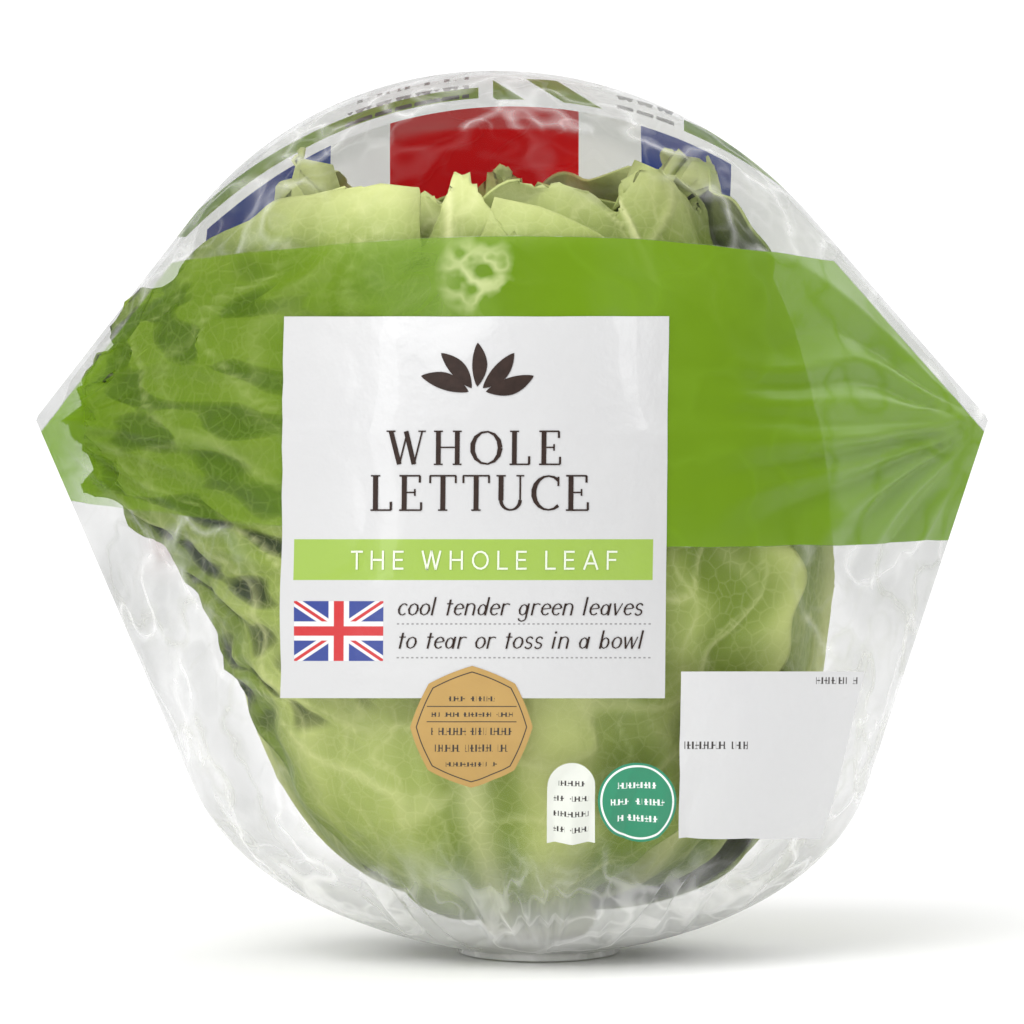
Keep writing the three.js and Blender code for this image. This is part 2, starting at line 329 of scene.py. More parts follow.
def stem_points():
    """A profile turned round the stem's axis: out over the cut, round its edge, and up the taper to
    a closed tip, with shallow flutes where the leaf bases were."""
    cut = np.stack([np.linspace(0, STEM_RADIUS - 5, 8), np.full(8, STEM_BOTTOM)], axis=-1)
    bend = np.linspace(0.15, np.pi / 2, 8)
    brim = np.stack([STEM_RADIUS - 5 + 4.7 * np.sin(bend), STEM_BOTTOM + 5 * (1 - np.cos(bend))], axis=-1)
    level = np.linspace(STEM_BOTTOM + 5.5, STEM_TOP, 36)
    taper = np.stack([stem_radius(level), level], axis=-1)
    profile = np.concatenate([cut, brim, taper, [[0.0, STEM_TOP + 0.5]]])
    turn = np.linspace(0, 2 * np.pi, 72, endpoint=False)
    radius, height = profile[:, :1], profile[:, 1:]
    flutes = 1 + 0.035 * np.sin(turn * 5 + height * 0.16) * smooth_step(height, 3, 8)
    lift = 0.25 * lattice_noise(radius * np.cos(turn) + 9, radius * np.sin(turn) + 9, 5)
    x = radius * flutes * np.cos(turn) + LEAN * (EAR_HEIGHT - height)
    z = height + np.where(height <= STEM_BOTTOM, lift * smooth_step(radius, 0, 4), 0)
    return np.stack([x, radius * flutes * np.sin(turn), z], axis=-1)


butt = Finish("cream stem", Roughness=0.5)
height = butt.node("SeparateXYZ", inputs={"Vector": butt.place()}, out="Z")
browned = both(1 - (height * 1000).past(4.0, 1.0), butt.noise(0.004).past(0.5, 0.3))
flesh = butt.mixed(colour(206, 208, 150), colour(176, 190, 104), (height * 1000).past(20, 30))
butt.feed(Base_Color=butt.mixed(flesh, colour(168, 122, 70), browned * 0.8))
butt.bump(butt.noise(0.0015), 0.0003)
fit(add_surface("stem_butt", stem_points(), ring=True), butt, "stem", "stem")

# ---- The leaves --------------------------------------------------------------------------------
# Twenty soft cupped leaves, each on a layer inside the one before it and a golden angle further
# round. A leaf has a thick pale midrib, side veins, a blistered blade and a ruffled margin.
OUTERMOST = np.array([68.0, 61.0, 7.0, 172.0])  # a layer's half width, half depth, bottom and top
INNERMOST = np.array([11.0, 9.7, 41.0, 134.0])
LAYER_POWER = 0.6
GOLDEN_ANGLE, FIRST_ANGLE = 137.508, 258.0
STEM_GAP = 0.5
EAR_REACH = 100.0
LEAF_GROUPS = (("outer_leaf", 7), ("middle_leaf", 7), ("heart_leaf", 6))


def mix(first, second, share):
    """The value a share of the way from first to second."""
    return first + (second - first) * share


# The bag that they have to stay inside: its size, and the sections of its film.
TOP, DEPTH, WAIST = 185.0, 66.0, 88.0
EAR_PINCH, PINCH_ABOVE, PINCH_BELOW = 1.6, 30.0, 42.0
DOME_RADIUS, BOWL_HALF_WIDTH, BOWL_HEIGHT = 84.0, 72.5, 44.5
FOOT_HALF_WIDTH, FOOT_HALF_DEPTH, MOUTH_RADIUS = 17.0, 24.0, 7.0
SIDE_ABOVE, SIDE_BELOW = 2.2, 3.0
FILM_ROOM = 2.3  # what a leaf keeps free inside the film, for its wrinkles
HEAD_ROOM = 3.0  # the film and its clearance outside the outermost layer


def tangent_point(x, y, middle, radius, turn):
    """Where the line from (x, y) touches a circle about (0, middle)."""
    angle = math.atan2(y - middle, x) + turn * math.acos(radius / math.hypot(x, y - middle))
    return radius * math.cos(angle), middle + radius * math.sin(angle)


DOME_MIDDLE = TOP - DOME_RADIUS
DOME_X, DOME_Z = tangent_point(EAR_REACH, EAR_HEIGHT, DOME_MIDDLE, DOME_RADIUS, 1)
STRETCH = BOWL_HALF_WIDTH / BOWL_HEIGHT
BOWL_X, BOWL_Z = tangent_point(
    EAR_REACH, EAR_HEIGHT * STRETCH, BOWL_HALF_WIDTH, BOWL_HALF_WIDTH, -1
)
BOWL_Z /= STRETCH


def bag_half_width(z):
    """The bag's outline: the bowl, a taut line out to the ear, another up from it, the dome."""
    bowl = BOWL_HALF_WIDTH * np.sqrt(np.clip(1 - (1 - z / BOWL_HEIGHT) ** 2, 0, 1))
    lower = mix(BOWL_X, EAR_REACH, (z - BOWL_Z) / (EAR_HEIGHT - BOWL_Z))
    upper = mix(EAR_REACH, DOME_X, (z - EAR_HEIGHT) / (DOME_Z - EAR_HEIGHT))
    dome = np.sqrt(np.clip(DOME_RADIUS**2 - (z - DOME_MIDDLE) ** 2, 0, None))
    parts = [z < BOWL_Z, z < EAR_HEIGHT, z < DOME_Z]
    return np.select(parts, [np.maximum(FOOT_HALF_WIDTH, bowl), lower, upper], dome)


def bag_half_depth(z):
    """The bag's side outline: one superellipse above its waist and a fuller one below it."""
    above = z > WAIST
    power = np.where(above, SIDE_ABOVE, SIDE_BELOW)
    share = np.clip(np.abs(z - WAIST) / np.where(above, TOP - WAIST, WAIST), 0, 1)
    depth = DEPTH * (1 - share**power) ** (1 / power)
    return np.where(above, depth, np.maximum(FOOT_HALF_DEPTH, depth))


def film_depth(x, z):
    """How far the film stands from the middle plane: a lens hollowed towards the ears, lying on the
    head where the hollow would cut it."""
    reach = np.where(z > EAR_HEIGHT, PINCH_ABOVE, PINCH_BELOW)
    power = (1 + EAR_PINCH * np.exp(-(((z - EAR_HEIGHT) / reach) ** 2))) / 2
    across = np.clip(np.abs(x) / np.maximum(bag_half_width(z), 1e-6), 0, 1)
    free = bag_half_depth(z) * (1 - across**2) ** power
    wide, deep, bottom, top = OUTERMOST + np.array([1, 1, -1, 1]) * HEAD_ROOM
    level = np.clip(2 * (z - bottom) / (top - bottom) - 1, -1, 1)
    share = np.sqrt(1 - level**2) ** LAYER_POWER
    inside = np.clip(1 - (x / np.maximum(wide * share, 1e-6)) ** 2, 0, 1)
    return np.maximum(free, deep * share * np.sqrt(inside))


def foot_polar(size, turn):
    """The angle up the layer at which a leaf's foot stands a gap off the tapering stem, found by
    trying the stem's radius at each found height again."""
    wide, deep, bottom, top = size
    spread = np.hypot(wide * np.cos(turn), deep * np.sin(turn))
    polar = np.zeros_like(turn)
    for _ in range(12):
        level = mix(bottom, top, (1 - np.cos(polar)) / 2)
        polar = np.arcsin(((stem_radius(level) + STEM_GAP) / spread) ** (1 / LAYER_POWER))
    return polar


def outward(points):
    """Each grid point's unit normal: the cross product of the steps across and along."""
    across, along = np.gradient(points, axis=1), np.gradient(points, axis=0)
    normal = np.cross(across, along)
    return normal / np.maximum(np.linalg.norm(normal, axis=-1, keepdims=True), 1e-9)


def leaf_points(order, columns, rows):
    """A blade on its superellipsoid layer, opening from a narrow foot and closing in a round tip.
    It is raised along its normal by the midrib, the side veins and blisters, and waved at its
    margin; the outermost leaf's left margin is drawn out into the bag's ear."""
    rng = np.random.default_rng(40 + order)
    inward = order / 19
    size = mix(OUTERMOST, INNERMOST, inward)
    wide, deep, bottom, top = size
    along, across = np.meshgrid(np.linspace(0, 1, rows), np.linspace(-1, 1, columns), indexing="ij")
    closing = np.clip((along - 0.56) / 0.44, 0, 1)
    opening = mix(mix(24, 60, inward), mix(66, 100, inward), smooth_step(along, 0, 0.56))
    half = np.radians(opening * mix(0.16, 1, np.sqrt(1 - closing**2.4)))
    girth = 0.8 * (wide + deep) / 2
    length = 0.75 * (top - bottom) + girth * 0.6
    side = across * half * girth  # millimetres from the midrib
    rise = along * length
    phase = rng.uniform(0, 9)
    lobes = 1 + 0.045 * np.sin(rise * 0.16 + phase) + 0.03 * np.sin(rise * 0.43 + 2 * phase)
    turn = np.radians(FIRST_ANGLE + order * GOLDEN_ANGLE) + across * half * lobes
    tip = np.radians(mix(152, 162, inward)) * (1 + 0.02 * np.sin(across * 5 + phase))
    if order == 0:
        tip = tip * (0.935 + 0.035 * np.sin(across * 6 + 1))
    polar = mix(foot_polar(size, turn), tip, along)
    out = np.sin(polar) ** LAYER_POWER
    z = mix(bottom, top, (1 - np.cos(polar)) / 2)
    x, y = wide * out * np.cos(turn), deep * out * np.sin(turn)
    near = 0 * z
    if order == 0:
        tuck = smooth_step(z, 74, 98) * (1 - smooth_step(z, 130, 150))
        tuck += 0.3 * np.exp(-(((z - 78) / 7) ** 2)) + 0.14 * np.exp(-(((z - 60) / 6) ** 2))
        near = smooth_step(-across, 0.25, 1) * np.minimum(tuck, 1)
        frays = 1.7 * np.abs(np.sin(z * 0.29 + 0.4)) + 1.3 * np.abs(np.sin(z * 0.71 + 3 * along))
        ear = EAR_REACH - np.where(z > EAR_HEIGHT, 0.83, -0.378) * (z - EAR_HEIGHT)
        x = mix(x, 1.6 + frays - ear, near)
        y = y * (1 - 0.72 * near)
    points = np.stack([x, y, z], axis=-1)

    rib = np.exp(-((side / mix(6.0, 0.9, along**0.6)) ** 2))
    wander = 0.5 * lattice_noise(side / 19 + 20, rise / 19 + 20, 60 + order)
    wander += 0.2 * lattice_noise(side / 7 + 20, rise / 7 + 20, 70 + order)
    branch = rise / 19 - (np.abs(side) / 30) ** 1.2 + wander + 0.25 * np.sign(side)
    apart = np.abs(branch - np.round(branch)) * 19
    fading = smooth_step(along, 0.03, 0.2) * (1 - smooth_step(np.abs(across), 0.75, 1))
    vein = np.exp(-((apart / mix(1.1, 0.6, np.abs(across))) ** 2)) * fading
    cross = side / 12 + 0.6 * lattice_noise(side / 9, rise / 9 + 7, 80 + order)
    twig = np.exp(-((np.abs(cross - np.round(cross)) * 12 / 0.6) ** 2)) * fading
    ribs = np.maximum(rib, np.maximum(vein * 0.5, twig * 0.28))

    margin = np.minimum((1 - np.abs(across)) * half * girth, (1 - along) * length)
    edge = np.clip(1 - margin / 16, 0, 1) ** 1.6 * smooth_step(along, 0.12, 0.45)
    edge = np.maximum(edge, 0.8 * near)
    tip_turn = np.arctan2(side / 55, along - 0.4)
    run = tip_turn * 58 + 5 * lattice_noise(rise / 15, side / 15, 3 + order)
    free = 0.7 + smooth_step(z, 112, 150) * 3.0 * (1 - 0.5 * inward) + near * 2.6
    ruffle = np.sin(run * 2 * np.pi / 68 + phase) + 0.26 * np.sin(run * 2 * np.pi / 31 + 2 * phase)
    warp = 2.2 * lattice_noise(side / 7 + 5, z / 7 + 5, 8)
    frill = np.sin(z * 0.5 + side * 0.3 + warp) + 0.7 * np.sin(z * 0.24 - side * 0.5 + 2 - warp)
    frill += 0.5 * lattice_noise(side / 3 + 5, z / 3 + 5, 9)
    frill = near**0.4 * (1 - smooth_step(z, 132, 148)) * frill
    folds = lattice_noise(across * half * 3.4 + 20, along * 1.6 + 20, 100 + order)
    folds += 0.5 * lattice_noise(across * half * 8 + 20, along * 2.6 + 20, 110 + order)
    folds = folds * smooth_step(along, 0.02, 0.2)
    blister = lattice_noise(side / 12 + 30, rise / 12 + 30, 120 + order) * 0.6
    blister += lattice_noise(side / 5 + 30, rise / 5 + 30, 130 + order) * 0.22
    raised = mix(1.3, 0.2, along) * rib + 0.3 * vein * (1 - inward) + blister * (1 - ribs)
    raised += 2.3 * folds * mix(1, 0.4, inward) + edge * free * ruffle + 2.1 * frill
    raised += edge * smooth_step(z, 125, 155) * 5.5 * (1 - inward)
    points = points + outward(points) * raised[..., None]
    room = film_depth(points[..., 0], points[..., 2]) - FILM_ROOM
    points[..., 1] = np.clip(points[..., 1], -np.maximum(room, 0.3), np.maximum(room, 0.3))
    points[..., 0] += LEAN * (EAR_HEIGHT - points[..., 2])
    tone = np.full_like(side, rng.uniform(0, 1))
    marks = {
        "veins": np.stack([ribs, edge, along], axis=-1),
        "tones": np.stack([tone, folds, frill], axis=-1),
    }
    return points, marks


def leaf_finish(name, shade_green, deep_and_shade_green, bright_green, pale, rib_colour):
    """Soft waxy leaf: a deeper green at the margin, paler in the middle of its length and at the crown,
    with pale ribs and a faint net of veins. Painted shade darkens its fold valleys, its foot and the
    hollows of its ruffled ear margin, and painted highlight lightens its fold crests."""
    finish = Finish(name, Roughness=0.5, Specular_IOR_Level=0.35)
    ribs, edge, along = finish.marks("veins")
    tone, folds, frill = finish.marks("tones")
    patches = finish.noise(0.03, 5.0)
    # Random patches and each leaf's own tone, plus painted highlight on the raised fold crests.
    tone_and_fold_light = ((patches - 0.35) * 1.1 + tone * 0.4 - 0.1 + folds * 0.3).held()
    blade = finish.mixed(deep_and_shade_green, bright_green, tone_and_fold_light)
    # Painted shade: darker towards the foot and in the fold valleys.
    blade = finish.mixed(blade, deep_and_shade_green, ((0.32 - along) * 4.0 - folds * 0.4).held() * 0.6)
    # Paler in the middle of the leaf's length, plus painted highlight on the fold crests.
    blade = finish.mixed(blade, pale, (1 - abs(along - 0.46) * 3.4 + folds * 0.6).held() * 0.65)
    height = finish.node("SeparateXYZ", inputs={"Vector": finish.place()}, out="Z") * 1000
    crown = height.past(155, 14)
    # A deeper green at the margin away from the crown, plus painted shade in the fold valleys.
    blade = finish.mixed(blade, deep_and_shade_green, (edge * 0.6 * (1 - crown) - folds * 0.75).held())
    blade = finish.mixed(blade, pale, crown * (0.62 + 0.36 * tone))
    # Painted shade: a very dark green over the ruffled ear margin, deepest in its hollows.
    ragged = (abs(frill) * 6).held()
    blade = finish.mixed(blade, shade_green, both(ragged, (0.3 - frill * 1.4).held()))
    cells = finish.node(
        "TexVoronoi",
        {"feature": "DISTANCE_TO_EDGE"},
        {"Vector": finish.place(), "Scale": 330.0, "Randomness": 1.0},
    )
    net = (1 - cells.past(0.04, 0.08)) * 0.12
    ribbed = (ribs * (0.35 + (along * 2).held() * 0.4) + net).held()
    finish.feed(Base_Color=finish.mixed(blade, rib_colour, ribbed))
    finish.feed(Roughness=0.42 + 0.25 * patches)
    finish.bump(cells * 0.25 + finish.noise(0.005, 5.0) * 0.75, 0.0012, 0.5)
    return finish


# Each group's colours: painted shade for the ruffle hollows, a deep green that is also painted shade,
# bright green, pale green and rib colour.
LEAF_FINISHES = {
    "outer_leaf": leaf_finish(
        "outer leaf green",
        colour(38, 52, 10),
        colour(110, 132, 36),
        colour(158, 174, 78),
        colour(206, 212, 142),
        colour(214, 218, 156),
    ),
    "middle_leaf": leaf_finish(
        "middle leaf green",
        colour(52, 70, 16),
        colour(134, 156, 46),
        colour(184, 200, 92),
        colour(218, 222, 156),
        colour(216, 220, 154),
    ),
    "heart_leaf": leaf_finish(
        "heart leaf yellow",
        colour(120, 140, 50),
        colour(160, 178, 78),
        colour(200, 208, 122),
        colour(216, 218, 160),
        colour(222, 224, 178),
    ),
}

order = 0
for group, count in LEAF_GROUPS:
    for number in range(1, count + 1):
        fine = (150, 150) if group == "outer_leaf" else (96, 96)
        points, marks = leaf_points(order, *fine)
        leaf = add_surface(f"{group}_blade_{number}", points, marks=marks)
        solid = leaf.modifiers.new("thickness", "SOLIDIFY")
        solid.thickness, solid.offset = 0.0006, -1
        fit(leaf, LEAF_FINISHES[group], group, f"{group}_{number}")
        order += 1

# ---- The film bag ------------------------------------------------------------------------------
# One tube of thin clear film, pulled tight over the head, creased into an ear at each side and
# gathered under the stem. A translucent green band crosses its front, and its back is printed too.
def lean(z):
    """How far the pack leans sideways at a height, from upright at its ears' height."""
    return LEAN * (EAR_HEIGHT - z)


def laid_out(x, z, depth):
    """Where a point of the film falls on the artwork's drawing: a plane in front of the pack, seen
    from the lens, so that the print looks straight from there. depth is negative at the back."""
    grow = 1 / (1 - depth * 0.001 / VIEW_DISTANCE)
    drop = depth * math.sin(VIEW_RISE)
    middle = VIEW_HEIGHT * 1000
    return (x + lean(z)) * grow, middle + ((z - middle) * math.cos(VIEW_RISE) - drop) * grow


def zigzag(value):
    """A triangle wave from -1 to 1, which folds film into flat facets and sharp creases."""
    return 2 * np.abs(2 * (value - np.floor(value + 0.5))) - 1


def crumple(x, z, seed, size):
    """Facets of crumpled film: triangle waves in several directions, each warped and faded by
    noise."""
    rng = np.random.default_rng(seed)
    total = 0
    for k in range(5):
        angle, length = rng.uniform(0, np.pi), size * rng.uniform(0.7, 1.6)
        warp = 0.35 * lattice_noise(x / (2 * size) + 30, z / (2 * size) + 30, seed + k)
        fade = smooth_step(lattice_noise(x / (3 * size) + 9, z / (3 * size) + 9, seed + 50 + k), -0.4, 0.6)
        total = total + fade * zigzag((x * math.cos(angle) + z * math.sin(angle)) / length + warp)
    return total / 2.2


LABEL_BOX = (-48.2, 32.4, 53.3, 133.4)


def film_relief(x, z, side):
    """How far wrinkles lift the film: folds running in from the ears, gathers up from the mouth,
    and crumpled facets, flatter under the label and nothing at the edges."""
    seed = 200 if side < 0 else 300
    total = 0.75 * crumple(x, z, seed, 28) + 0.16 * crumple(x, z, seed + 1, 14)
    for ear in (-EAR_REACH, EAR_REACH):
        away, angle = np.hypot(x - ear, z - EAR_HEIGHT), np.arctan2(z - EAR_HEIGHT, np.abs(x - ear))
        bend = 0.6 * lattice_noise(away / 25 + 9, angle * 3 + 9, seed + 7)
        total = total + 1.3 * np.exp(-(((away - 26) / 24) ** 2)) * zigzag(angle * 4.2 + bend)
    fan = np.arctan2(x, z + 26)
    bend = 0.8 * lattice_noise(fan * 6 + 20, z / 18 + 20, seed + 8)
    total = total + 1.9 * np.exp(-((z / 30) ** 2)) * zigzag(fan * 7.5 + bend)
    total = total + 0.7 * np.exp(-((z / 34) ** 2)) * crumple(x, z, seed + 3, 17)
    low_sides = smooth_step(np.abs(x), 30, 60) * (1 - smooth_step(z, 70, 100))
    total = total + 0.7 * low_sides * crumple(x, z, seed + 2, 24)
    if side < 0:
        left, right, bottom, top = LABEL_BOX
        label = smooth_step(x, left - 6, left + 4) * (1 - smooth_step(x, right - 4, right + 6))
        label = label * smooth_step(z, bottom - 6, bottom + 4) * (1 - smooth_step(z, top - 4, top + 6))
        block = smooth_step(x, 30, 38) * (1 - smooth_step(x, 70, 80))
        block = block * smooth_step(z, 18, 28) * (1 - smooth_step(z, 60, 70))
        total = total * (1 - 0.75 * label) * (1 - 0.8 * block)
    room = bag_half_width(z) - np.abs(x)
    return total * smooth_step(room, 0, 10) * smooth_step(z, 1, 16)


def film_points(columns, rows):
    """Sections once round the bag at each height, from the mouth over the flat foot to the top,
    lifted by the wrinkles. Each point carries its place on the flat print."""
    turn = np.linspace(0, 2 * np.pi, columns, endpoint=False) - np.pi / 2 + 1e-4
    z = TOP * (1 - np.cos(np.pi * np.linspace(0, 1, rows))) / 2
    z = z[:, None] + 0 * turn
    width = bag_half_width(z)
    x = width * np.cos(turn)
    facing = np.sign(np.sin(turn)) + 0 * z
    y = facing * film_depth(x, z)
    y = np.where(width < 1e-3, 0, y)
    points = np.stack([x, y, z], axis=-1)
    normal = outward(np.concatenate([points[:, -1:], points, points[:, :1]], axis=1))[:, 1:-1]
    lift = np.where(facing < 0, film_relief(x, z, -1), film_relief(x, z, 1))
    points = points + normal * lift[..., None]
    foot = []
    for share in np.linspace(0, 0.9, 8):
        gather = 1.2 * (1 - share) * (1 + zigzag(turn * 3.5 + 0.3)) * 0.5
        foot_x = mix(MOUTH_RADIUS * np.cos(turn), FOOT_HALF_WIDTH * np.cos(turn), share)
        foot_y = mix(MOUTH_RADIUS * np.sin(turn), FOOT_HALF_DEPTH * np.sin(turn), share)
        foot.append(np.stack([foot_x, foot_y, gather], axis=-1))
    points = np.concatenate([np.array(foot), points])
    points[..., 2] = np.clip(points[..., 2], 0.05, TOP)
    z = points[..., 2]
    flat_x = np.concatenate([points[:8, :, 0], width * np.cos(turn)])
    slope = np.array([DOME_Z - EAR_HEIGHT, EAR_REACH - DOME_X])
    slope = slope / np.linalg.norm(slope)
    line = slope[0] * (EAR_REACH - np.abs(flat_x)) + slope[1] * (EAR_HEIGHT - z)
    rim = np.where(z > DOME_Z, DOME_RADIUS - np.hypot(flat_x, z - DOME_MIDDLE), line)
    back = np.sin(turn) > 0
    depth = np.where(back, -1, 1) * film_depth(flat_x, z)
    art_x, art_z = laid_out(flat_x, z, depth)
    head = OUTERMOST[0] * np.sqrt(np.clip(1 - ((z - 88) / 86) ** 2, 0, 1)) ** LAYER_POWER
    loose = np.maximum(smooth_step(np.abs(flat_x) - head, -15, 0), 1 - smooth_step(z, 8, 32))
    loose = np.maximum(loose, 0.07 * smooth_step(z, 150, 172))
    points[..., 0] += lean(z)
    return points, {
        "print": np.stack([art_x, art_z, rim], axis=-1),
        "handling": np.stack([loose, np.arctan2(flat_x, z + 26), 0 * z + back], axis=-1),
    }


GREEN_INK = colour(103, 140, 0)
# Painted glow: the back's inks emit light of their own colour, standing in for light coming through the
# film.
BACKLIGHT = 0.27  # the light that comes through the ink on the back


def film_finish():
    """Clear glossy film, milky where it is crumpled, with its inks: on the front the green band,
    and on the back a striped panel, green arcs and lines of small dashes. Its clear parts are a dark
    grey as a painted reflection, its creases white, part milky film and part painted highlight, a
    painted glare lies on one crumple in the band, and the back's inks carry a painted glow."""
    film = Finish("printed clear film", Roughness=0.16, IOR=1.33)
    x, z, rim = film.marks("print")
    loose, fan, back = film.marks("handling")
    front = 1 - back
    shift = (film.noise(0.03, 2.0) - 0.5) * 1.6
    band_top = 150.2 - 0.0011 * x * x + shift
    band_foot = 85.9 - 0.045 * x + 0.00055 * x * x + shift
    band = both((z - band_foot).past(0.0, 0.25), (band_top - z).past(0.0, 0.25))
    band = both(band, rim.past(2.4, 0.5), front)

    arc = (x * x + (z - 85) * (z - 85)) ** 0.5
    ground = both(back, z.past(104, 0.3), 1 - arc.past(99.0, 0.3), rim.past(0.8, 0.4))
    panel = both(back, 1 - arc.past(92.4), z.past(96, 0.3))
    blue = both(panel, (within(x, -64, -38) + within(x, 27, 45.8)).held())
    red = both(panel, within(x, -25.5, 14.0))
    white_bars = both(panel, within(x, -64, 45.8)) * 0.66
    corner = both(back, within(z, 80, 97, 7.0), within(x, -77, -69, 5.0)) * 0.5
    arcs = both(back, within(arc, 94.3, 96.6, 0.2), z.past(150, 0.3))
    arcs = both(arcs, (1 - x.past(-7.0) + x.past(36.0)).held())
    slant = (x * 0.55 + z * 0.9) / 1.15
    stripes = both(back, within(arc, 93.8, 98.2), within(x, -4, 19), slant.sine().past(0.1, 0.3))
    rows = ((arc - 92.6) * 2 * math.pi / 1.9).sine().past(0.25, 0.4)
    words = ((x * 3.1).sine() + (x * 1.37 + 1).sine() + (arc * 2.4).sine()).past(-0.5, 0.3)
    text = both(back, within(arc, 93.8, 99.0), (within(x, -35, -9) + within(x, 22, 34)).held())
    lines = both(back, within(x, -40, 40), within(z, 64, 88), (z * 2.6).sine().past(0.2, 0.3))
    text = (both(text, rows, words) + both(lines, words)).held()

    folds = film.noise(0.02, 1.6, rough=0.5)
    creases = (1 - abs(folds - 0.5) * 22).held()
    fine = film.noise(0.011, 1.0, rough=0.5)
    streaks = (1 - abs(fine - 0.5) * 24).held()
    # Painted highlight: a pale glare on one crumple in the band.
    glare_spot = 1 - ((x + 7) * (x + 7) / 90 + (z - 142) * (z - 142) / 90)
    crinkle = film.noise(0.009, 2.5)
    painted_glare = both(front, glare_spot.held(), (1.1 - abs(crinkle - 0.5) * 11).held())
    low = (1 - z / 34).held()
    # White where the film is creased and where it gathers at the foot: part milky film, part painted
    # highlight.
    white = (creases * 0.7 + streaks * 0.3 + low * 0.9).held()

    # Painted reflection: the clear film is dark grey, so that its thin haze darkens what lies behind it as
    # reflected dark surroundings would.
    tint = film.mixed((0.13, 0.14, 0.13, 1), (0.86, 0.86, 0.85, 1), white)
    tint = film.mixed(tint, (0.72, 0.73, 0.71, 1), ground)
    tint = film.mixed(tint, GREEN_INK, band)
    tint = film.mixed(tint, colour(214, 222, 160), painted_glare * 0.8)
    tint = film.mixed(tint, colour(172, 204, 92), (arcs + stripes).held())
    tint = film.mixed(tint, colour(40, 66, 158), blue)
    tint = film.mixed(tint, colour(218, 14, 22), (red + corner).held())
    tint = film.mixed(tint, colour(110, 110, 110), text)
    film.feed(Base_Color=tint)
    # Painted glow on the back's inks and white bars.
    film.shader.inputs["Emission Strength"].default_value = BACKLIGHT
    lit = both(back, (white_bars + blue + red + corner + (arcs + stripes) * 0.4).held())
    film.feed(Emission_Color=film.mixed((0, 0, 0, 1), tint, lit))

    edge_on = film.node("LayerWeight", inputs={"Blend": 0.35}, out="Facing")
    clouds = film.noise(0.024, 2.0).past(0.5, 0.35)
    milk = 0.016 + loose * (0.13 + clouds * 0.15 + creases * 0.12 + streaks * 0.04)
    milk = milk + both(low, loose) * (0.3 + clouds * 0.2) + edge_on**4 * 0.1
    dense = 0.38 + (x / 70 + 0.78).held() * 0.54 + creases * 0.05 + (-5.4 - x / 15).held() * 0.5
    ink = (band * dense).most(ground * 0.42).most((blue + red + arcs + stripes).held())
    ink = ink.most(corner).most(white_bars)
    film.feed(Alpha=ink.most(milk).most(text * 0.8).held())
    film.feed(Roughness=0.2 + creases * 0.1 + band * 0.1)
    film.bump(folds * 0.85 + fine * 0.15 + creases * 0.05, 0.0014, 0.65)
    return film


FILM = film_finish()
points, marks = film_points(384, 250)
fit(add_surface("film_tube", points, ring=True, marks=marks), FILM, "film", "film_bag")

# ---- The label ---------------------------------------------------------------------------------
# A white block printed on the front of the film, with a dark headline, a green strip, a small flag
# and two slanted lines. Ink has no thickness; it is drawn a hair outside the film.
INK_LIFT = 0.22
TOP_INK_LIFT = INK_LIFT + 0.14  # ink printed over other ink


def on_film(drawn_x, drawn_z, lift):
    """Points on the front of the wrinkled film under a place on the artwork's drawing, raised by
    lift. The place is found by trying the film's depth at each found point again."""
    middle, x, z = VIEW_HEIGHT * 1000, drawn_x, drawn_z
    for _ in range(5):
        depth = film_depth(x, z)
        grow = 1 / (1 - depth * 0.001 / VIEW_DISTANCE)
        z = middle + ((drawn_z - middle) / grow + depth * math.sin(VIEW_RISE)) / math.cos(VIEW_RISE)
        x = (drawn_x + 0.01 * (drawn_z - middle)) / grow - lean(z)
    step = 0.4
    slope_x = (film_depth(x + step, z) - film_depth(x - step, z)) / (2 * step)
    slope_z = (film_depth(x, z + step) - film_depth(x, z - step)) / (2 * step)
    normal = np.stack([-slope_x, -np.ones_like(x), -slope_z], axis=-1)
    normal = normal / np.linalg.norm(normal, axis=-1, keepdims=True)
    base = np.stack([x, -film_depth(x, z), z], axis=-1)
    points = base + normal * (film_relief(x, z, -1) + lift)[..., None]
    points[..., 0] += lean(points[..., 2])
    return points


def ink_sheet(name, left, right, bottom, top, finish, lift=INK_LIFT, pitch=0.8, bow=None):
    """A printed rectangle laid on the film. It carries its millimetres from its lower left."""
    columns, rows = int((right - left) / pitch) + 2, int((top - bottom) / pitch) + 2
    v, u = np.meshgrid(np.linspace(0, 1, rows), np.linspace(0, 1, columns), indexing="ij")
    z = mix(bottom, top, v)
    x = mix(left, right if bow is None else bow(z), u)
    marks = np.stack([x - left, z - bottom, 0 * x], axis=-1)
    sheet = add_surface(name, on_film(x, z, lift), marks={"print": marks})
    return fit(sheet, finish, "film")


def ink_disc(name, x, z, radius, finish, corners=0, lift=INK_LIFT, rings=22, spokes=96):
    """A printed disc laid on the film, its edge drawn part way to straight sides between corners.
    It carries its millimetres from its middle."""
    share, turn = np.meshgrid(
        np.linspace(0, 1, rings), np.linspace(0, 2 * np.pi, spokes, endpoint=False), indexing="ij"
    )
    edge = radius + 0 * turn
    if corners:
        part = np.pi / corners
        flat = math.cos(part) / np.cos((turn + 2 * part) % (2 * part) - part)
        edge = radius * mix(1, flat, 0.72)
    across, up = share * edge * np.cos(turn), share * edge * np.sin(turn)
    marks = np.stack([across, up, share * radius], axis=-1)
    disc = add_surface(name, on_film(x + across, z + up, lift), ring=True, marks={"print": marks})
    return fit(disc, finish, "film")


def glossed(finish):
    """The film's own shine over printed ink."""
    finish.bump(finish.noise(0.012, 4.0), 0.0011, 0.5)
    return finish


